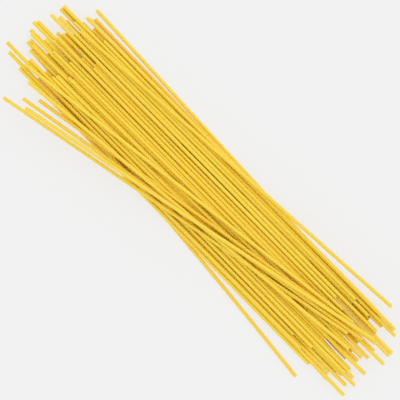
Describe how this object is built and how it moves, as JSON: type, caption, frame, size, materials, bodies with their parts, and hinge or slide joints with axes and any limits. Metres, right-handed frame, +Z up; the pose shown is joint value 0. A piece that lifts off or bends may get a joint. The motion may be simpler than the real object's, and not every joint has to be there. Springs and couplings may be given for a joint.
{
  "type": "dry spaghetti bundle",
  "caption": "Loose heap of uncooked spaghetti lying flat, its straight strands fanned, staggered and crossing on top, used as a cooking ingredient.",
  "frame": {"origin": "middle of the bundle's box, at the height of the surface that it lies on", "axes": "+X along the strands towards the end where the crossing strands meet the top of the heap, +Y across the bundle, +Z up"},
  "size_m": [0.2978, 0.0792, 0.0154],
  "materials": {
    "dry_semolina_pasta": "dry durum semolina: golden yellow, faintly translucent, fine lengthwise streaks, a soft satin sheen and paler chalky cut ends"
  },
  "bodies": {
    "root": {"spaghetti_bundle": "dry_semolina_pasta"}
  },
  "joints": []
}
